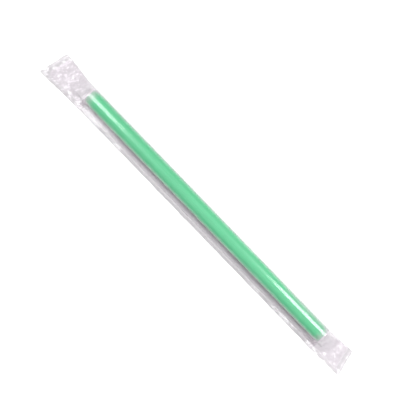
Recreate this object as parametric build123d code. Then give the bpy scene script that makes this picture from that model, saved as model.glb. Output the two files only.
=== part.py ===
from build123d import *
import os
from math import atan2, cos, degrees, radians, sin, tan

# A drinking straw sealed in its own clear film sleeve, lying on a flat surface.
# Millimetres. +X runs along the straw, +Y towards the side where the film is snug, +Z up.
# The origin is at the middle of the underside of the box around the whole part.

# ---- the straw
STRAW_DIAMETER = 11.0
STRAW_WALL = 0.3
STRAW_LENGTH = 222.0

# ---- the film of the sleeve
FILM_GAUGE = 0.05
FILM_CLEARANCE = 0.25  # air between the film and the straw
SEAM_WIDTH = 2.8  # the side seam, where the two layers of film are welded flat
STRIP_REACH = 11.8  # from the straw's axis to the outer edge of the loose strip
MOUTH_GAP = 0.6  # from each end of the straw to where the film starts to flatten

# ---- the flattened ends, each measured outward from its end of the straw
LEFT_OVERHANG = 34.1  # to the longest point of the cut edge
LEFT_SHOULDER = 13.0  # to where the film has gone flat
LEFT_STRIP_REACH = 12.9  # from the straw's axis to the strip edge of the flat end
LEFT_SNUG_REACH = 8.3  # from the straw's axis to the other edge of the flat end
LEFT_SKEW = 11.5  # degrees that the cut edge leans off square
RIGHT_OVERHANG = 26.6
RIGHT_SHOULDER = 11.0
RIGHT_STRIP_REACH = 11.0
RIGHT_SNUG_REACH = 7.1
RIGHT_SKEW = 15.5
FLAT_HEIGHT = 0.8  # over both layers and the air left between them
END_SEAL = 4.0  # the end seal at its narrower side
SEAL_TAPER = 3.0  # length over which the two layers come together at the end seal
FOLD_ANGLE = 1.0  # degrees each way of the round section that flatten into the edge opposite the seam
TAPER_CLOSED = 0.9  # share of the taper at which the air space stops

# ---- worked out from the sizes above
STRAW_RADIUS = STRAW_DIAMETER / 2
SLEEVE_INSIDE = STRAW_RADIUS + FILM_CLEARANCE
SLEEVE_OUTSIDE = SLEEVE_INSIDE + FILM_GAUGE
WELD = 2 * FILM_GAUGE
SEAM_REACH = STRIP_REACH - SEAM_WIDTH
AXIS_X = (LEFT_OVERHANG - RIGHT_OVERHANG) / 2
WIDEST_STRIP = max(STRIP_REACH, LEFT_STRIP_REACH, RIGHT_STRIP_REACH)
WIDEST_SNUG = max(SLEEVE_OUTSIDE, LEFT_SNUG_REACH, RIGHT_SNUG_REACH)
AXIS_Y = (WIDEST_STRIP - WIDEST_SNUG) / 2
AXIS_Z = SLEEVE_OUTSIDE

# ---- angles about the straw's axis, in degrees from +Y towards +Z
BOTTOM = -90
TOP = 90
LEAN = 2 * degrees(atan2(SLEEVE_INSIDE, SEAM_REACH))  # slope of the film above the loose strip
LEAVES_AT = TOP + LEAN  # where the film leaves the straw for the loose strip


def across(x, edges):
    """Edges drawn as (y, z), stood across the straw at x."""
    return [(Plane.YZ.offset(x) * line).edge() for line in edges]


def ruled_solid(sections):
    """A solid of straight-ruled faces, each edge of a section joined to the same edge of the next."""
    faces = [make_face(sections[0]), make_face(sections[-1])]
    for near, far in zip(sections, sections[1:]):
        faces += [Face.make_surface_from_curves(a, b) for a, b in zip(near, far)]
    return Solid(Shell(faces))


def arc(radius, start_angle, end_angle):
    """An arc about the straw's axis, from one angle to another, anticlockwise from +Y."""
    return CenterArc((AXIS_Y, AXIS_Z), radius, start_angle, end_angle - start_angle)


def leaving_point(radius):
    """The point (y, z) where the film of this radius leaves the straw for the loose strip."""
    return (
        AXIS_Y + radius * cos(radians(LEAVES_AT)),
        AXIS_Z + radius * sin(radians(LEAVES_AT)),
    )


def straw_section_outside(x):
    """Outer outline round the straw: flat below, round the straw, and down to the welded seam."""
    strip_y = AXIS_Y - STRIP_REACH
    seam_top = (AXIS_Y - SEAM_REACH - FILM_GAUGE * tan(radians(LEAN / 2)), WELD)
    return across(x, [
        Line((strip_y, 0), (AXIS_Y, 0)),
        arc(SLEEVE_OUTSIDE, BOTTOM, -FOLD_ANGLE),
        arc(SLEEVE_OUTSIDE, -FOLD_ANGLE, FOLD_ANGLE),
        arc(SLEEVE_OUTSIDE, FOLD_ANGLE, LEAVES_AT),
        Line(leaving_point(SLEEVE_OUTSIDE), seam_top),
        Line(seam_top, (strip_y, WELD)),
        Line((strip_y, WELD), (strip_y, 0)),
    ])


def straw_section_inside(x):
    """Inner outline round the straw, one gauge of film inside the outer one."""
    seam = (AXIS_Y - SEAM_REACH, FILM_GAUGE)
    return across(x, [
        Line(seam, (AXIS_Y, FILM_GAUGE)),
        arc(SLEEVE_INSIDE, BOTTOM, 0),
        arc(SLEEVE_INSIDE, 0, LEAVES_AT),
        Line(leaving_point(SLEEVE_INSIDE), seam),
    ])


def flat_section_outside(x, strip_reach, snug_reach, height):
    """Outer outline of a flat end: level below, with a low crown above the straw's axis."""
    strip_y = AXIS_Y - strip_reach
    seam_y = strip_y + SEAM_WIDTH
    snug_y = AXIS_Y + snug_reach
    return across(x, [
        Line((strip_y, 0), (AXIS_Y, 0)),
        Line((AXIS_Y, 0), (snug_y, 0)),
        Line((snug_y, 0), (snug_y, WELD)),
        Line((snug_y, WELD), (AXIS_Y, height)),
        Line((AXIS_Y, height), (seam_y, WELD)),
        Line((seam_y, WELD), (strip_y, WELD)),
        Line((strip_y, WELD), (strip_y, 0)),
    ])


def flat_section_inside(x, strip_reach, snug_reach, gap):
    """Outline of the air between the two layers of a flat end, gap high at its crown."""
    seam = (AXIS_Y - strip_reach + SEAM_WIDTH, FILM_GAUGE)
    snug = (AXIS_Y + snug_reach - FILM_GAUGE, FILM_GAUGE)
    crown = (AXIS_Y, FILM_GAUGE + gap)
    return across(x, [
        Line(seam, (AXIS_Y, FILM_GAUGE)),
        Line((AXIS_Y, FILM_GAUGE), snug),
        Line(snug, crown),
        Line(crown, seam),
    ])


def end_solids(out, overhang, shoulder, strip_reach, snug_reach, skew):
    """One flattened end as (film outline, air inside). out is -1 at the left end and 1 at the right.

    The lengths are measured outward from the end of the straw.
    """
    straw_end = AXIS_X + out * STRAW_LENGTH / 2
    lean = (strip_reach + snug_reach) * tan(radians(skew))
    seal_starts = overhang - lean - END_SEAL
    mouth_x = straw_end + out * MOUTH_GAP
    shoulder_x = straw_end + out * shoulder
    taper_x = straw_end + out * (seal_starts - SEAL_TAPER)
    seal_x = straw_end + out * seal_starts
    end_x = straw_end + out * overhang
    closed_x = taper_x + (seal_x - taper_x) * TAPER_CLOSED
    gap = FLAT_HEIGHT - WELD
    outside = ruled_solid([
        straw_section_outside(mouth_x),
        flat_section_outside(shoulder_x, strip_reach, snug_reach, FLAT_HEIGHT),
        flat_section_outside(taper_x, strip_reach, snug_reach, FLAT_HEIGHT),
        flat_section_outside(seal_x, strip_reach, snug_reach, WELD),
        flat_section_outside(end_x, strip_reach, snug_reach, WELD),
    ])
    air = ruled_solid([
        straw_section_inside(mouth_x),
        flat_section_inside(shoulder_x, strip_reach, snug_reach, gap),
        flat_section_inside(taper_x, strip_reach, snug_reach, gap),
        flat_section_inside(closed_x, strip_reach, snug_reach, gap * (1 - TAPER_CLOSED)),
    ])
    # The cut edge leans off square, with its longest point at the strip's edge.
    waste_side = 2 * (overhang + strip_reach + snug_reach)
    waste = Pos(out * waste_side / 2, 0, 0) * Box(waste_side, waste_side, waste_side)
    longest_corner = Pos(end_x, AXIS_Y - strip_reach, 0)
    return outside - longest_corner * Rot(Z=out * skew) * waste, air


def make_straw():
    """A plain tube, cut square at both ends."""
    ring = Circle(STRAW_RADIUS) - Circle(STRAW_RADIUS - STRAW_WALL)
    tube = extrude(Plane.YZ * ring, amount=STRAW_LENGTH)
    return Pos(AXIS_X - STRAW_LENGTH / 2, AXIS_Y, AXIS_Z) * tube


def make_film_sleeve():
    """The sealed sleeve: one film round the straw, welded at one side and at both ends."""
    half = STRAW_LENGTH / 2 + MOUTH_GAP
    outside = extrude(make_face(straw_section_outside(AXIS_X - half)), amount=2 * half)
    air = extrude(make_face(straw_section_inside(AXIS_X - half)), amount=2 * half)
    left_outside, left_air = end_solids(
        -1, LEFT_OVERHANG, LEFT_SHOULDER, LEFT_STRIP_REACH, LEFT_SNUG_REACH, LEFT_SKEW
    )
    right_outside, right_air = end_solids(
        1, RIGHT_OVERHANG, RIGHT_SHOULDER, RIGHT_STRIP_REACH, RIGHT_SNUG_REACH, RIGHT_SKEW
    )
    return (outside + left_outside + right_outside) - (air + left_air + right_air)


PIECES = {
    "straw": make_straw(),
    "film_sleeve": make_film_sleeve(),
}

os.makedirs("parts", exist_ok=True)
for name, solid in PIECES.items():
    export_step(solid, f"parts/{name}.step")
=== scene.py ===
import math

import bpy
import numpy as np
from mathutils import Matrix, Vector


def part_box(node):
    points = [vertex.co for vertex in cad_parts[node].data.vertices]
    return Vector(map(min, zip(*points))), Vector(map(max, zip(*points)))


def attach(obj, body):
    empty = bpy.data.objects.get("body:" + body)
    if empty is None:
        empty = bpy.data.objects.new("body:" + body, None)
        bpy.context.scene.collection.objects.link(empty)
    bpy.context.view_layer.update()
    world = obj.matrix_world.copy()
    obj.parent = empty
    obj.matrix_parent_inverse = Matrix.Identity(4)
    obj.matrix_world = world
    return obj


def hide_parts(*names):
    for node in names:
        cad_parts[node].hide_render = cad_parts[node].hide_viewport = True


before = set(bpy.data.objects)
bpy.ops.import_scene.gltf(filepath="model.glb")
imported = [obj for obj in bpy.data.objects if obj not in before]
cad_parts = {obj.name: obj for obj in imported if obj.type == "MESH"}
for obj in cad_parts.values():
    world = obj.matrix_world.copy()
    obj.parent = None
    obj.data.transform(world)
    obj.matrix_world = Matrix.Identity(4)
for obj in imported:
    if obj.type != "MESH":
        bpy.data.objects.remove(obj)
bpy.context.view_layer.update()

# A drinking straw sealed in its own clear film sleeve, lying on a pale floor.
# Metres. +X runs along the straw, +Y towards the side where the film is snug, +Z up.
# The straw is the CAD tube with a plastic finish. The sleeve is one film made here in full:
# round the straw, down to the welded strip at its side, and out to its two crumpled flat ends.

MM = 0.001

# ---- the straw and the sleeve, as the frame has them
STRAW_LOW, STRAW_HIGH = (np.array(corner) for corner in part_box("straw"))
SLEEVE_LOW, SLEEVE_HIGH = (np.array(corner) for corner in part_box("film_sleeve"))
STRAW_RADIUS = (STRAW_HIGH[1] - STRAW_LOW[1]) / 2
AXIS_Y = (STRAW_HIGH[1] + STRAW_LOW[1]) / 2
AXIS_Z = (STRAW_HIGH[2] + STRAW_LOW[2]) / 2

# ---- the film
FILM_GAUGE = 0.05 * MM
WELD = 2 * FILM_GAUGE
FILM_CLEARANCE = 0.25 * MM  # air between the film and the straw
FILM_RADIUS = STRAW_RADIUS + FILM_CLEARANCE + FILM_GAUGE  # outer face of the film round the straw
SEAM_WIDTH = 2.8 * MM
STRIP_REACH = 11.8 * MM  # from the straw's axis to the outer edge of the loose strip
MOUTH_GAP = 0.6 * MM  # from each end of the straw to where the film starts to flatten
LEFT_CUT_PAST = 0.8 * MM  # how far the left cut edge lies past the frame's straight one


class SleeveEnd:
    """One flattened end of the sleeve. out is -1 at the left end and 1 at the right.

    The shoulder, the veil and the gather are lengths from the end of the straw, and the two
    reaches of the flat film are measured from the straw's axis. The skew is in degrees, the seal
    is as wide as the weld across the end, the grey is how grey the welds look, from 0 to 1, and
    the curl is how high the strip's corner stands.
    """

    def __init__(self, out, cut_x, shoulder, strip_reach, snug_reach, skew, seal,
                 grey, veil, veil_length, gather_length, curl, seed):
        self.out = out
        self.cut_x = cut_x
        self.straw_x = STRAW_LOW[0] if out < 0 else STRAW_HIGH[0]
        self.mouth_x = self.straw_x + out * MOUTH_GAP
        self.shoulder_x = self.straw_x + out * shoulder
        self.strip_y = AXIS_Y - strip_reach
        self.snug_y = AXIS_Y + snug_reach
        self.skew = math.tan(math.radians(skew))
        self.seal = seal
        self.grey = grey
        self.veil = veil
        self.veil_length = veil_length
        self.gather_length = gather_length
        self.curl = curl
        self.seed = seed


LEFT_END = SleeveEnd(
    out=-1, cut_x=SLEEVE_LOW[0] - LEFT_CUT_PAST, shoulder=13 * MM, strip_reach=12.9 * MM,
    snug_reach=8.3 * MM, skew=11.5, seal=4 * MM, grey=1.0, veil=0.26, veil_length=7.5 * MM,
    gather_length=9 * MM, curl=0.5 * MM, seed=11,
)
RIGHT_END = SleeveEnd(
    out=1, cut_x=SLEEVE_HIGH[0], shoulder=11 * MM, strip_reach=11 * MM,
    snug_reach=7.1 * MM, skew=15.5, seal=4 * MM, grey=0.35, veil=0.24, veil_length=6 * MM,
    gather_length=13 * MM, curl=1.6 * MM, seed=29,
)
ENDS = (LEFT_END, RIGHT_END)

# ---- the grid of the film: rows along the straw, columns across each layer
ROW_END = 0.26 * MM  # row spacing in the crumpled ends
ROW_MIDDLE = 1.5 * MM
CRUMPLED_REACH = 10 * MM  # how far over the straw the close rows run
SEAM_COLUMNS = 6
BODY_COLUMNS = 46
SHUT = 0.999  # how sealed a row is when the two layers touch all across
SHUT_COLUMN = 2 * SEAM_COLUMNS  # the column that a row's seal is read in

# ---- the lie of the film round the straw
HANG_SLACK = 1.2  # film from the seam up to the straw, over the straight line between them
SEAM_EASE = 6  # how fast the seam's wandering fades round the straw
STRIP_LIFT = 0.35 * MM  # how far the strip's edge rises off the floor

# ---- how far the film's edges wander
STRIP_WANDER = 0.16 * MM
STRIP_RIPPLE = 0.2 * MM  # more of it on the flat ends
SNUG_RIPPLE = 0.3 * MM
CUT_RIPPLE = 0.25 * MM
NOTCH_DEPTH = 1.1 * MM  # the notch where the strip meets the left cut edge
NOTCH_WIDTH = 0.9 * MM
NOTCH_PAST_SEAM = 1.0 * MM
STRIP_DENTS = (  # in the strip's edge, as (distance past the straw's right end, depth, width)
    (5.6 * MM, 1.0 * MM, 0.9 * MM),
    (13.4 * MM, 0.8 * MM, 0.8 * MM),
)

# ---- how high the creases stand
PILLOW = 0.45 * MM  # the air between the layers of a flat end
SHARP_CREASES = 0.42 * MM
BROAD_FACETS = 0.30 * MM
LONG_FOLDS = 0.18 * MM
SLACK_CREASES = 0.14 * MM  # over the last of the straw
SLACK_STARTS, SLACK_RAMP = 6 * MM, 10 * MM  # how far over the straw they start, and grow in
SHOULDER_FOLDS = 0.4 * MM  # where the film comes down from the straw's end
LOWER_BROAD, LOWER_FACETS, LOWER_FOLDS = 0.45 * MM, 0.30 * MM, 0.10 * MM
BROAD_PITCH, CREASE_PITCH, LOWER_PITCH = 5.0 * MM, 2.3 * MM, 3.4 * MM
SEAL_FADE = 4 * MM  # over which the layers part, inward from the seal
CURL_REACH = 5.5 * MM  # how far the curl of a corner runs

# ---- the share of light that one face of the film scatters
HAZE_MIDDLE = 0.02
HAZE_END = 0.045
HAZE_WELD = 0.10

# ---- how far one face greys what is seen through it: the welds' own grey, and a painted shadow beside the straw
# Painted shadow beside the straw: faint by the seam, darkest where the film turns up against the
# straw.
PAINTED_SHADOW_BESIDE = 0.016  # beside the straw, between it and the seam
PAINTED_CONTACT_SHADOW = 0.06  # where the film turns up against the straw
GREY_POCKET = 0.011
GREY_SEAL = 0.11
GREY_STRIP = 0.13
GREY_STRIP_END = 0.135
SNUG_VEIL = 0.07  # extra haze along the snug side of the straw's right part


def smooth(t):
    """0 below 0, 1 above 1, and an even S-curve between them."""
    t = np.clip(t, 0, 1)
    return t * t * (3 - 2 * t)


def fold_wave(t):
    """A wave of straight flanks and sharp creases, from 0 to 1 and back over each unit of t."""
    return 2 * np.abs(t - np.floor(t) - 0.5)


def crumple(x, y, pitch, stretch, seed):
    """Crumpled film: hollows about pitch apart, with sharp creases between. From 0 to about 1.

    Each point's height is its distance to the nearest of many scattered spots, over three quarters
    of the pitch. The spots lie stretch times further apart along the straw than across.
    """
    rng = np.random.default_rng(seed)
    spots_x = np.arange(x.min() - pitch, x.max() + pitch, pitch * stretch)
    spots_y = np.arange(y.min() - pitch, y.max() + pitch, pitch)
    spots = np.stack(np.meshgrid(spots_x, spots_y, indexing="ij"), axis=-1).reshape(-1, 2)
    spots = spots + rng.uniform(-0.5, 0.5, spots.shape) * (pitch * stretch, pitch)
    nearest = np.full(x.shape, np.inf)
    for spot_x, spot_y in spots:
        away = np.hypot((x - spot_x) / stretch, y - spot_y)
        nearest = np.minimum(nearest, away)
    return nearest / (0.75 * pitch)


def slow_wave(x, pitch, seed):
    """A gentle uneven wave along x, from about -1 to 1: three sines of unlike lengths."""
    rng = np.random.default_rng(seed)
    return sum(
        share * np.sin(2 * math.pi * x / (pitch * length) + rng.uniform(0, 6.3))
        for share, length in ((0.5, 1.0), (0.3, 0.61), (0.2, 0.37))
    )


def dent(x, centre, width):
    """A smooth bump of height 1 about centre."""
    return np.exp(-(((x - centre) / width) ** 2))


def film_rows():
    """Places along X of the film's rows: close in the crumpled ends and wide between them."""
    inner_left = LEFT_END.straw_x + CRUMPLED_REACH
    inner_right = RIGHT_END.straw_x - CRUMPLED_REACH
    left = np.arange(LEFT_END.cut_x, inner_left, ROW_END)
    middle_count = round((inner_right - inner_left) / ROW_MIDDLE)
    middle = np.linspace(inner_left, inner_right, middle_count)
    right = np.arange(RIGHT_END.cut_x, inner_right, -ROW_END)[::-1]
    return np.concatenate([left, middle, right])


def round_section(share, upper):
    """(y, z) of the film round the straw, one layer of it, at a share of its length from the seam.

    The upper layer leaves the seam level, curves up against the straw's side, and runs over it.
    The lower one runs level under the straw, and then up its snug side.
    """
    seam_reach = STRIP_REACH - SEAM_WIDTH
    hanging = HANG_SLACK * math.hypot(seam_reach - FILM_RADIUS, AXIS_Z) if upper else seam_reach
    turn = math.pi if upper else math.pi / 2
    run = share * (hanging + FILM_RADIUS * turn)
    part = np.clip(run / hanging, 0, 1)
    if upper:
        hanging_y = AXIS_Y - FILM_RADIUS - (seam_reach - FILM_RADIUS) * (1 - part) ** 2
        hanging_z = AXIS_Z * part ** 2
    else:
        hanging_y = AXIS_Y - seam_reach * (1 - part)
        hanging_z = 0 * part
    past = (run - hanging) / FILM_RADIUS
    angle = (math.pi - past) if upper else (-math.pi / 2 + past)
    arc_y = AXIS_Y + FILM_RADIUS * np.cos(angle)
    arc_z = AXIS_Z + FILM_RADIUS * np.sin(angle)
    before = run < hanging
    return np.where(before, hanging_y, arc_y), np.where(before, hanging_z, arc_z)


def flattening(x):
    """How flat the film is at x: 0 round the straw, and 1 from the shoulder outward."""
    flat = np.zeros_like(x)
    for end in ENDS:
        reach = (x - end.mouth_x) / (end.shoulder_x - end.mouth_x)
        flat = np.maximum(flat, np.where(end.out * (x - end.mouth_x) > 0, reach, 0))
    return np.clip(flat, 0, 1)


def widening(x):
    """How far x lies from the film's mouth to its cut edge: 0 round the straw, 1 at the cut."""
    wide = np.zeros_like(x)
    for end in ENDS:
        wide = np.maximum(wide, (x - end.mouth_x) / (end.cut_x - end.mouth_x))
    return np.clip(wide, 0, 1)


def edge_lines(x):
    """(strip_y, snug_y): the film's two edges as it lies flat at x, uneven where creases pull."""
    mid = (LEFT_END.straw_x + RIGHT_END.straw_x) / 2
    left_side = x < mid
    strip = np.where(left_side, LEFT_END.strip_y, RIGHT_END.strip_y)
    snug = np.where(left_side, LEFT_END.snug_y, RIGHT_END.snug_y)
    loose = widening(x)
    strip = (1 - loose) * (AXIS_Y - STRIP_REACH) + loose * strip
    snug = (1 - loose) * (AXIS_Y + FILM_RADIUS) + loose * snug
    strip = strip + STRIP_WANDER * slow_wave(x, 21 * MM, 3)
    strip = strip + STRIP_RIPPLE * loose * slow_wave(x, 6 * MM, 4)
    snug = snug + SNUG_RIPPLE * loose * slow_wave(x, 7 * MM, 5)
    for distance, depth, width in STRIP_DENTS:
        strip = strip + depth * dent(x, RIGHT_END.straw_x + distance, width)
    return strip, snug


def cut_shift(x, y, end):
    """How far a point moves along X to bring the last row to the leaning, uneven cut edge.

    The shift grows from nothing at the shoulder to all of it at the edge, as the upper half of
    an S-curve does.
    """
    lean = (y - end.strip_y) * end.skew
    wave = CUT_RIPPLE * slow_wave(y, 9 * MM, end.seed)
    notch = 0.0
    if end is LEFT_END:
        notch = NOTCH_DEPTH * dent(y, end.strip_y + SEAM_WIDTH + NOTCH_PAST_SEAM, NOTCH_WIDTH)
    reach = (x - end.shoulder_x) / (end.cut_x - end.shoulder_x)
    share = smooth(reach * 0.5 + 0.5) * 2 - 1
    return -end.out * np.clip(share, 0, 1) * (lean + wave + notch)


def film_layers():
    """The outer face of the film as (upper, lower, fields): two grids of points, and film_fields.

    Both grids have a row for each place along the straw and a column for each share of the way
    from the strip's edge to the snug side. A point is its place round the straw, carried in
    proportion towards its place in the flat end, and then lifted by the creases there.
    """
    rows = film_rows()[:, None]
    seam = np.linspace(0, 1, SEAM_COLUMNS + 1)[None, :-1]
    body = np.linspace(0, 1, BODY_COLUMNS + 1)[None, :]
    flat = flattening(rows)
    strip_y, snug_y = edge_lines(rows)
    seam_y = strip_y + SEAM_WIDTH
    fields = film_fields(rows, seam, body, strip_y, snug_y)
    layers = []
    for upper in (True, False):
        round_y, round_z = round_section(body, upper)
        seam_off = seam_y - (AXIS_Y - STRIP_REACH + SEAM_WIDTH)
        round_y = round_y + seam_off * (1 - body) ** SEAM_EASE
        flat_y = seam_y + (snug_y - seam_y) * body
        ease = smooth(flat) * 0.5 + flat * 0.5
        y = (1 - flat) * round_y + flat * flat_y
        z = (1 - ease) * round_z
        seam_ys = strip_y + SEAM_WIDTH * seam
        y = np.concatenate([np.broadcast_to(seam_ys, (len(rows), SEAM_COLUMNS)), y], axis=1)
        z = np.concatenate([np.zeros((len(rows), SEAM_COLUMNS)), z], axis=1)
        x = np.broadcast_to(rows, y.shape).copy()
        for end in ENDS:
            beyond = end.out * (rows - end.shoulder_x) > 0
            x = x + np.where(beyond, cut_shift(rows, y, end), 0)
        z = z + fields["upper" if upper else "lower"]
        layers.append(np.stack([x, y, z], axis=-1))
    return layers[0], layers[1], fields


def film_fields(rows, seam, body, strip_y, snug_y):
    """Each layer's height and haze, its greying (the welds' own grey, and a painted shadow beside
    the straw), and how sealed it is, at every point of the grid.

    Heights: the lower layer has broad facets, smaller ones and folds. The upper layer stands over
    it by a pillow of air, sharp creases, facets and folds where it is flat and open, by slack
    creases over the straw, and by folds that radiate from the straw's end at the shoulder.
    """
    across = np.concatenate([seam * 0, body], axis=1)
    seam_share = np.concatenate([1 - seam, body * 0], axis=1)
    seam_y = strip_y + SEAM_WIDTH
    y = np.concatenate([strip_y + SEAM_WIDTH * seam, seam_y + (snug_y - seam_y) * body], axis=1)
    x = rows + 0 * y
    flat = flattening(rows)
    crumpled = np.zeros_like(y)
    sealed = np.zeros_like(y)
    to_cut_edge = np.full_like(y, 1.0)
    for end in ENDS:
        outward = end.out * (x - end.straw_x)
        crumpled = np.maximum(crumpled, smooth((outward + SLACK_STARTS) / SLACK_RAMP))
        cut_at = end.cut_x + cut_shift(end.cut_x + 0 * y, y, end)
        to_cut = end.out * (cut_at - x - cut_shift(x, y, end))
        side = smooth(1 - (to_cut - end.seal) / SEAL_FADE)
        sealed = np.where(outward > 0, np.maximum(sealed, side), sealed)
        to_cut_edge = np.where(outward > 0, to_cut, to_cut_edge)

    facets = np.zeros_like(y)
    creases = np.zeros_like(y)
    lower_facets = np.zeros_like(y)
    for end in ENDS:
        near = np.flatnonzero(end.out * (rows[:, 0] - end.straw_x) > -CRUMPLED_REACH)
        part = np.s_[near[0]:near[-1] + 1]
        facets[part] = crumple(x[part], y[part], BROAD_PITCH, 1.6, end.seed + 1)
        creases[part] = crumple(x[part], y[part], CREASE_PITCH, 1.3, end.seed + 2)
        lower_facets[part] = crumple(x[part], y[part], LOWER_PITCH, 1.5, end.seed + 3)
    folds = fold_wave(across * 4.3 + 0.5 * slow_wave(x, 16 * MM, 7))
    open_share = (1 - sealed) * smooth(across * 6) * smooth((1 - across) * 9)

    lower = LOWER_BROAD * facets + LOWER_FACETS * lower_facets + LOWER_FOLDS * folds
    lower = lower * smooth(flat * 1.3)
    strip_rise = STRIP_LIFT * (1 + slow_wave(x, 30 * MM, 8)) * seam_share
    lower = lower + strip_rise * (1 - flat)
    pillow = 4 * across * (1 - across)
    pocket = PILLOW * pillow + SHARP_CREASES * creases + BROAD_FACETS * facets + LONG_FOLDS * folds
    slack = SLACK_CREASES * crumpled * creases
    upper = lower + WELD + open_share * (flat * pocket + (1 - flat) * slack)
    shoulder = 4 * flat * (1 - flat)
    radiate = fold_wave(across * 8 + 0.6 * slow_wave(x, 9 * MM, 9))
    upper = upper + open_share * shoulder * SHOULDER_FOLDS * radiate
    for end in ENDS:
        to_corner = np.hypot(x - end.cut_x, (y - end.strip_y) * 1.1)
        curl = end.curl * smooth(1 - to_corner / CURL_REACH)
        lower, upper = lower + curl, upper + curl
    shut_rows = sealed[:, SHUT_COLUMN, None] >= SHUT
    haze, grey = film_haze(x, across, seam_share, to_cut_edge, shut_rows)
    veil = straw_end_veil(x, y)
    return {"upper": upper, "lower": lower, "sealed": sealed,
            "upper_haze": haze + veil, "lower_haze": haze, "grey": grey}


def gathering(x):
    """How far the film beside the straw is gathered up: 0 along it, and 1 at its ends and beyond."""
    near = np.zeros_like(x)
    for end in ENDS:
        outward = end.out * (x - end.straw_x)
        near = np.maximum(near, smooth((outward + end.gather_length) / end.gather_length))
    return near


def film_haze(x, across, seam_share, to_cut_edge, shut_rows):
    """(haze, grey): the share of light that each face scatters, and how far it is greyed: the welds'
    own grey, and beside the straw a painted shadow.

    The strip's outer part is greyest. Along the cut edges a bright rim runs inside a fine grey
    line: the share falls by 0.4 a millimetre in, and rises by 0.7 at the edge itself.
    """
    loose = smooth(widening(x) * 4)
    welded = shut_rows | (seam_share > 0)
    end_grey = np.where(x < 0, LEFT_END.grey, RIGHT_END.grey)
    end_haze = HAZE_END * (0.6 + 0.4 * end_grey)
    hazier = smooth(widening(x) * 2.2)
    haze = np.where(welded, HAZE_WELD, HAZE_MIDDLE + (end_haze - HAZE_MIDDLE) * hazier)
    strip = GREY_STRIP + (GREY_STRIP_END * (0.5 + 0.5 * end_grey) - GREY_STRIP) * loose
    strip = strip * (0.7 + 0.4 * smooth((seam_share - 0.35) * 4))
    # Painted shadow beside the straw: the film from the seam up to the straw's side greys what is
    # seen through it, and it fades out where the film gathers near the ends.
    beside = PAINTED_SHADOW_BESIDE + (PAINTED_CONTACT_SHADOW - PAINTED_SHADOW_BESIDE) * smooth((across - 0.06) / 0.08)
    beside = beside * smooth((0.27 - across) / 0.06) * (1 - gathering(x))
    single = beside + GREY_POCKET * end_grey * loose
    seal = GREY_SEAL * (0.7 + 0.3 * end_grey)
    grey = np.where(seam_share > 0, strip, np.where(shut_rows, seal, single))
    rim = 1 - 0.4 * dent(to_cut_edge, 1.0 * MM, 0.5 * MM) + 0.7 * dent(to_cut_edge, 0, 0.3 * MM)
    return haze * rim, grey * rim


def straw_end_veil(x, y):
    """Extra haze where the loose film gathers over the last of the straw.

    It grows towards the end of the straw as the 1.7th power of the way there, starts up to 7 mm
    further in on the strip side, and is gone 2 mm past the end. Over the right part of the straw
    there is a fainter veil on the snug side. Beside the straw it shows only near the ends.
    """
    veil = np.zeros_like(x)
    strip_side = smooth((AXIS_Y - 1.5 * MM - y) / (4 * MM))
    for end in ENDS:
        outward = end.out * (x - end.straw_x)
        span = end.veil_length + 7 * MM * strip_side
        gathered = np.clip((outward + span) / span, 0, 1) ** 1.7
        veil = veil + end.veil * gathered * smooth(1 - outward / (2 * MM))
    outward = x - RIGHT_END.straw_x
    snug_side = smooth((y - AXIS_Y) / (3 * MM))
    right_part = smooth((outward + 55 * MM) / (40 * MM)) * smooth(-outward / MM)
    veil = veil + SNUG_VEIL * right_part * snug_side
    over_straw = smooth((y - AXIS_Y + 6.4 * MM) / (1.2 * MM))
    return veil * np.maximum(over_straw, gathering(x))


def outward_normals(ring):
    """Unit normals of a closed ring grid (row, column, xyz), from its neighbours each way."""
    along = np.gradient(ring, axis=0)
    around = (np.roll(ring, -1, axis=1) - np.roll(ring, 1, axis=1)) / 2
    normal = np.cross(along, around)
    return normal / np.maximum(np.linalg.norm(normal, axis=2, keepdims=True), 1e-12)


def ring_faces(row_count, column_count, first):
    """Quads of a grid that closes on itself round each row, numbered from first."""
    row = np.arange(row_count - 1)[:, None] * column_count
    column = np.arange(column_count)[None, :]
    after = (column + 1) % column_count
    quads = np.stack([row + column, row + column_count + column,
                      row + column_count + after, row + after], axis=-1)
    return quads.reshape(-1, 4) + first


def cap_faces(size, first, flip):
    """Faces that close a ring of points straight across, from its upper half to its lower one.

    A ring of even size starts at a single point, and one of odd size at a short upright edge.
    """
    faces = []
    for j in range(size // 2):
        below = size - size % 2 - j
        face = list(dict.fromkeys([j, j + 1, (below - 1) % size, below % size]))
        faces.append([first + i for i in (face[::-1] if flip else face)])
    return faces


def outside_ring(upper, lower):
    """Two layers as one grid of rings: out along the upper one and back along the lower one."""
    return np.concatenate([upper, lower[:, -2::-1]], axis=1)


def inside_ring(upper, lower):
    """The same without the seam: the rings close at the seam's inner line."""
    return np.concatenate([upper[:, SEAM_COLUMNS:], lower[:, -2:SEAM_COLUMNS:-1]], axis=1)


def inner_layers(upper, lower):
    """The film's inner face as (upper, lower): one gauge in from the outer one.

    Where the layers nearly touch, and in the first and last rows, it is a thin slit halfway
    between them. The last column is the snug side, where the two layers are one.
    """
    normal = outward_normals(outside_ring(upper, lower))
    last = upper.shape[1] - 1
    inner_upper = upper - FILM_GAUGE * normal[:, :last + 1]
    inner_lower = lower - FILM_GAUGE * normal[:, :last - 1:-1]
    middle = (upper + lower) / 2
    slit = np.array([0, 0, 0.1 * FILM_GAUGE])
    near_shut = (upper - lower)[..., 2:] < 2 * WELD
    near_shut[:, last] = False
    near_shut[0], near_shut[-1] = True, True
    inner_upper = np.where(near_shut, middle + slit, inner_upper)
    inner_lower = np.where(near_shut, middle - slit, inner_lower)
    inner_upper[:, SEAM_COLUMNS] = middle[:, SEAM_COLUMNS]
    return inner_upper, inner_lower


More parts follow.
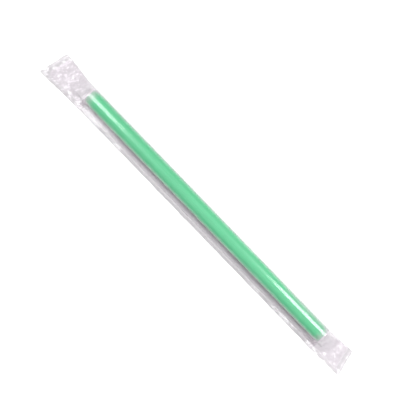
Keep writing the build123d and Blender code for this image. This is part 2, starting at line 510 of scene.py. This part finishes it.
def make_film(material):
    """The sleeve: an outer face and, one gauge inside it, the face of the space round the straw."""
    upper, lower, fields = film_layers()
    open_rows = np.flatnonzero(fields["sealed"][:, SHUT_COLUMN] < SHUT)
    inside = np.s_[open_rows[0]:open_rows[-1] + 1]
    outer = outside_ring(upper, lower)
    inner = inside_ring(*inner_layers(upper[inside], lower[inside]))

    points = np.concatenate([outer.reshape(-1, 3), inner.reshape(-1, 3)])
    outer_rows, outer_size = outer.shape[:2]
    inner_rows, inner_size = inner.shape[:2]
    inner_first = outer_rows * outer_size
    faces = ring_faces(outer_rows, outer_size, 0).tolist()
    faces += ring_faces(inner_rows, inner_size, inner_first)[:, ::-1].tolist()
    faces += cap_faces(outer_size, 0, False)
    faces += cap_faces(outer_size, inner_first - outer_size, True)
    faces += cap_faces(inner_size, inner_first, True)
    faces += cap_faces(inner_size, inner_first + (inner_rows - 1) * inner_size, False)

    mesh = bpy.data.meshes.new("film_sleeve_crumpled")
    mesh.from_pydata(points.tolist(), [], faces)
    for name, above, below in (
        ("haze", fields["upper_haze"], fields["lower_haze"]),
        ("grey", fields["grey"], fields["grey"]),
    ):
        values = np.concatenate([
            outside_ring(above, below).ravel(),
            inside_ring(above[inside], below[inside]).ravel(),
        ])
        layer = mesh.attributes.new(name, "FLOAT", "POINT")
        layer.data.foreach_set("value", values.astype(np.float32))
    mesh.polygons.foreach_set("use_smooth", np.ones(len(mesh.polygons), dtype=bool))
    mesh.materials.append(material)
    piece = bpy.data.objects.new("film_sleeve_crumpled", mesh)
    bpy.context.scene.collection.objects.link(piece)
    return piece


# ---- materials

def new_material(name):
    """A material with empty nodes, as (material, nodes, links)."""
    material = bpy.data.materials.new(name)
    material.use_nodes = True
    nodes, links = material.node_tree.nodes, material.node_tree.links
    nodes.clear()
    return material, nodes, links


def maths(nodes, operation, *constants):
    """A Math node with its constants in order. None leaves an input to be linked."""
    node = nodes.new("ShaderNodeMath")
    node.operation = operation
    for socket, constant in zip(node.inputs, constants):
        if constant is not None:
            socket.default_value = constant
    return node


def mapped(nodes, start, stop, low, high):
    """A Map Range node that takes start to low and stop to high."""
    node = nodes.new("ShaderNodeMapRange")
    node.inputs["From Min"].default_value = start
    node.inputs["From Max"].default_value = stop
    node.inputs["To Min"].default_value = low
    node.inputs["To Max"].default_value = high
    return node


def straw_plastic():
    """Mint-green extruded plastic: faint die lines along the tube, a soft and slightly uneven gloss,
    and a painted shade that darkens the green towards the tube's sides, where the wall is seen edge
    on."""
    material, nodes, links = new_material("mint_straw_plastic")
    place = nodes.new("ShaderNodeTexCoord")
    stretch = nodes.new("ShaderNodeMapping")
    stretch.inputs["Scale"].default_value = (12, 900, 900)
    die_lines = nodes.new("ShaderNodeTexNoise")
    die_lines.inputs["Scale"].default_value = 1.0
    die_lines.inputs["Detail"].default_value = 3.0
    tone = nodes.new("ShaderNodeValToRGB")
    darker, lighter = tone.color_ramp.elements
    darker.position, darker.color = 0.35, (0.076, 0.535, 0.245, 1)
    lighter.position, lighter.color = 0.65, (0.086, 0.580, 0.270, 1)
    gloss = mapped(nodes, 0.0, 1.0, 0.24, 0.34)
    bump = nodes.new("ShaderNodeBump")
    bump.inputs["Strength"].default_value = 0.25
    bump.inputs["Distance"].default_value = 0.02 * MM
    # Painted shade: the green darkens towards the tube's sides, where the wall is seen edge on.
    edge_on = nodes.new("ShaderNodeLayerWeight")
    edge_on.inputs["Blend"].default_value = 0.5
    deep = maths(nodes, "POWER", None, 3.0)
    painted_limb_shade = nodes.new("ShaderNodeMix")
    painted_limb_shade.data_type = "RGBA"
    painted_limb_shade.inputs["B"].default_value = (0.085, 0.370, 0.175, 1)
    surface = nodes.new("ShaderNodeBsdfPrincipled")
    output = nodes.new("ShaderNodeOutputMaterial")
    links.new(place.outputs["Object"], stretch.inputs["Vector"])
    links.new(stretch.outputs["Vector"], die_lines.inputs["Vector"])
    links.new(die_lines.outputs["Fac"], tone.inputs["Fac"])
    links.new(die_lines.outputs["Fac"], gloss.inputs["Value"])
    links.new(die_lines.outputs["Fac"], bump.inputs["Height"])
    links.new(edge_on.outputs["Facing"], deep.inputs[0])
    links.new(deep.outputs["Value"], painted_limb_shade.inputs["Factor"])
    links.new(tone.outputs["Color"], painted_limb_shade.inputs["A"])
    links.new(painted_limb_shade.outputs["Result"], surface.inputs["Base Color"])
    links.new(gloss.outputs["Result"], surface.inputs["Roughness"])
    links.new(bump.outputs["Normal"], surface.inputs["Normal"])
    links.new(surface.outputs["BSDF"], output.inputs["Surface"])
    return material


def film_plastic():
    """Clear glossy film: faint lilac haze, more of it where it is crumpled, fine wrinkles, grey
    welds, and a painted shadow beside the straw.

    The share of light that a face scatters is 1 - (1 - haze) ** (1 / (1.06 - edge_on)), because
    the path through the film is longer on the slant. The share it mirrors is 0.04 seen square on,
    and rises with the fifth power of edge_on to all of it seen edge on.
    """
    material, nodes, links = new_material("clear_crinkled_film")
    place = nodes.new("ShaderNodeTexCoord")
    haze = nodes.new("ShaderNodeAttribute")
    haze.attribute_name = "haze"
    mottle = nodes.new("ShaderNodeTexNoise")
    mottle.inputs["Scale"].default_value = 420.0
    mottle.inputs["Detail"].default_value = 4.0
    uneven = mapped(nodes, 0.3, 0.7, 0.75, 1.3)
    hazed = maths(nodes, "MULTIPLY")
    clear = maths(nodes, "SUBTRACT", 1.0)
    edge_on = nodes.new("ShaderNodeLayerWeight")
    edge_on.inputs["Blend"].default_value = 0.5
    squareness = maths(nodes, "SUBTRACT", 1.06)
    path = maths(nodes, "DIVIDE", 1.0)
    let_through = maths(nodes, "POWER")
    scattered = maths(nodes, "SUBTRACT", 1.0)
    scattered.use_clamp = True
    bump = nodes.new("ShaderNodeBump")
    bump.inputs["Strength"].default_value = 0.35
    bump.inputs["Distance"].default_value = 0.12 * MM
    # grey darkens what is seen through the film: the welds' own grey, and a painted shadow beside
    # the straw.
    grey = nodes.new("ShaderNodeAttribute")
    grey.attribute_name = "grey"
    tint = nodes.new("ShaderNodeMix")
    tint.data_type = "RGBA"
    tint.inputs["A"].default_value = (0.992, 0.984, 0.992, 1)
    tint.inputs["B"].default_value = (0.0, 0.03, 0.01, 1)
    through = nodes.new("ShaderNodeBsdfTransparent")
    body = nodes.new("ShaderNodeBsdfPrincipled")
    body.inputs["Base Color"].default_value = (0.80, 0.73, 0.79, 1)
    body.inputs["Roughness"].default_value = 0.6
    body.inputs["Specular IOR Level"].default_value = 0.0
    film = nodes.new("ShaderNodeMixShader")
    grazing = nodes.new("ShaderNodeLayerWeight")
    grazing.inputs["Blend"].default_value = 0.5
    steep = maths(nodes, "POWER", None, 5.0)
    shine = maths(nodes, "MULTIPLY_ADD", None, 0.96, 0.04)
    gloss = nodes.new("ShaderNodeBsdfGlossy")
    gloss.inputs["Roughness"].default_value = 0.14
    whole = nodes.new("ShaderNodeMixShader")
    output = nodes.new("ShaderNodeOutputMaterial")
    links.new(place.outputs["Object"], mottle.inputs["Vector"])
    links.new(mottle.outputs["Fac"], uneven.inputs["Value"])
    links.new(haze.outputs["Fac"], hazed.inputs[0])
    links.new(uneven.outputs["Result"], hazed.inputs[1])
    links.new(hazed.outputs["Value"], clear.inputs[1])
    links.new(edge_on.outputs["Facing"], squareness.inputs[1])
    links.new(squareness.outputs["Value"], path.inputs[1])
    links.new(clear.outputs["Value"], let_through.inputs[0])
    links.new(path.outputs["Value"], let_through.inputs[1])
    links.new(let_through.outputs["Value"], scattered.inputs[1])
    links.new(mottle.outputs["Fac"], bump.inputs["Height"])
    links.new(bump.outputs["Normal"], gloss.inputs["Normal"])
    links.new(bump.outputs["Normal"], grazing.inputs["Normal"])
    links.new(grazing.outputs["Facing"], steep.inputs[0])
    links.new(steep.outputs["Value"], shine.inputs[0])
    links.new(grey.outputs["Fac"], tint.inputs["Factor"])
    links.new(tint.outputs["Result"], through.inputs["Color"])
    links.new(scattered.outputs["Value"], film.inputs["Fac"])
    links.new(through.outputs["BSDF"], film.inputs[1])
    links.new(body.outputs["BSDF"], film.inputs[2])
    links.new(shine.outputs["Value"], whole.inputs["Fac"])
    links.new(film.outputs["Shader"], whole.inputs[1])
    links.new(gloss.outputs["BSDF"], whole.inputs[2])
    links.new(whole.outputs["Shader"], output.inputs["Surface"])
    return material


def floor_finish():
    """Plain matt white floor, lifted a little for the camera so that only the near shadow shows."""
    material, nodes, links = new_material("pale_floor")
    path = nodes.new("ShaderNodeLightPath")
    lifted = maths(nodes, "MULTIPLY", None, 0.02)
    surface = nodes.new("ShaderNodeBsdfPrincipled")
    surface.inputs["Base Color"].default_value = (0.93, 0.93, 0.93, 1)
    surface.inputs["Roughness"].default_value = 1.0
    surface.inputs["Specular IOR Level"].default_value = 0.0
    surface.inputs["Emission Color"].default_value = (1, 1, 1, 1)
    output = nodes.new("ShaderNodeOutputMaterial")
    links.new(path.outputs["Is Camera Ray"], lifted.inputs[0])
    links.new(lifted.outputs["Value"], surface.inputs["Emission Strength"])
    links.new(surface.outputs["BSDF"], output.inputs["Surface"])
    return material


# ---- the pieces

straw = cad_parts["straw"]
plastic = straw_plastic()
for slot in straw.material_slots:
    slot.material = plastic

sleeve = make_film(film_plastic())
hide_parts("film_sleeve")
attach(sleeve, "root")


# ---- floor, light and camera

FLOOR_SIDE = 60.0
FLOOR_DROP = 0.02 * MM
KEY_STRENGTH = 1.75
KEY_LEAN = math.radians(4)  # from overhead towards the snug side
KEY_SPREAD = math.radians(76)
WORLD_DIM, WORLD_BRIGHT = 0.23, 0.50  # strength at the sides and overhead
CAMERA_HEIGHT = 1.2
VIEW_WIDTH = 0.2651  # what the camera takes in across, at the height of the straw's axis
VIEW_CENTRE = (-6.55 * MM, 6.48 * MM)
VIEW_TURN = 45.94  # degrees that the camera is turned about the vertical


def make_floor():
    """A wide square, just under the sleeve."""
    half = FLOOR_SIDE / 2
    corners = [(-half, -half, -FLOOR_DROP), (half, -half, -FLOOR_DROP),
               (half, half, -FLOOR_DROP), (-half, half, -FLOOR_DROP)]
    mesh = bpy.data.meshes.new("floor")
    mesh.from_pydata(corners, [], [(0, 1, 2, 3)])
    mesh.materials.append(floor_finish())
    floor = bpy.data.objects.new("floor", mesh)
    bpy.context.scene.collection.objects.link(floor)
    return floor


def softbox(name, place, aim, width, height, power):
    """A soft rectangular lamp at place, turned towards aim, with its width along the straw."""
    lamp = bpy.data.lights.new(name, "AREA")
    lamp.shape = "RECTANGLE"
    lamp.size, lamp.size_y = width, height
    lamp.energy = power
    holder = bpy.data.objects.new(name, lamp)
    back = (Vector(place) - Vector(aim)).normalized()
    side = (Vector((1, 0, 0)) - back * back.x).normalized()
    turn = Matrix((side, back.cross(side), back)).transposed()
    holder.matrix_world = Matrix.Translation(place) @ turn.to_4x4()
    bpy.context.scene.collection.objects.link(holder)


def key_light():
    """A broad even light from almost overhead, which gives the straw its soft near shadow."""
    lamp = bpy.data.lights.new("key_light", "SUN")
    lamp.energy = KEY_STRENGTH
    lamp.angle = KEY_SPREAD
    holder = bpy.data.objects.new("key_light", lamp)
    downward = Vector((0, -math.tan(KEY_LEAN), -1))
    holder.rotation_euler = downward.to_track_quat("-Z", "Y").to_euler()
    holder.visible_glossy = False
    bpy.context.scene.collection.objects.link(holder)


def set_world():
    """Studio surroundings: white to the camera, and as a light soft overhead and dim beside."""
    world = bpy.data.worlds.new("studio")
    world.use_nodes = True
    nodes, links = world.node_tree.nodes, world.node_tree.links
    nodes.clear()
    place = nodes.new("ShaderNodeTexCoord")
    parts = nodes.new("ShaderNodeSeparateXYZ")
    fall = mapped(nodes, 0.25, 0.75, WORLD_DIM, WORLD_BRIGHT)
    fall.interpolation_type = "SMOOTHSTEP"
    path = nodes.new("ShaderNodeLightPath")
    shown = nodes.new("ShaderNodeMix")
    shown.inputs["B"].default_value = 1.0
    light = nodes.new("ShaderNodeBackground")
    light.inputs["Color"].default_value = (1, 1, 1, 1)
    output = nodes.new("ShaderNodeOutputWorld")
    links.new(place.outputs["Generated"], parts.inputs["Vector"])
    links.new(parts.outputs["Z"], fall.inputs["Value"])
    links.new(path.outputs["Is Camera Ray"], shown.inputs["Factor"])
    links.new(fall.outputs["Result"], shown.inputs["A"])
    links.new(shown.outputs["Result"], light.inputs["Strength"])
    links.new(light.outputs["Background"], output.inputs["Surface"])
    bpy.context.scene.world = world


def set_camera():
    """A camera straight overhead, looking down, with the straw running corner to corner."""
    lens = bpy.data.cameras.new("camera")
    lens.sensor_width = 36.0
    lens.lens = lens.sensor_width * CAMERA_HEIGHT / VIEW_WIDTH
    lens.clip_start, lens.clip_end = 0.01, 20.0
    camera = bpy.data.objects.new("camera", lens)
    place = Matrix.Translation((*VIEW_CENTRE, AXIS_Z + CAMERA_HEIGHT))
    camera.matrix_world = place @ Matrix.Rotation(math.radians(VIEW_TURN), 4, "Z")
    bpy.context.scene.collection.objects.link(camera)
    bpy.context.scene.camera = camera


floor = make_floor()
key_light()
softbox("right_streak_softbox", place=(0.122, 0.165, 0.25), aim=(0.10, 0, 0),
        width=0.07, height=0.20, power=0.38)
softbox("left_streak_softbox", place=(-0.130, 0.02, 0.32), aim=(-0.11, 0, 0),
        width=0.06, height=0.26, power=0.31)
set_world()
set_camera()
bpy.context.scene.view_settings.view_transform = "Standard"
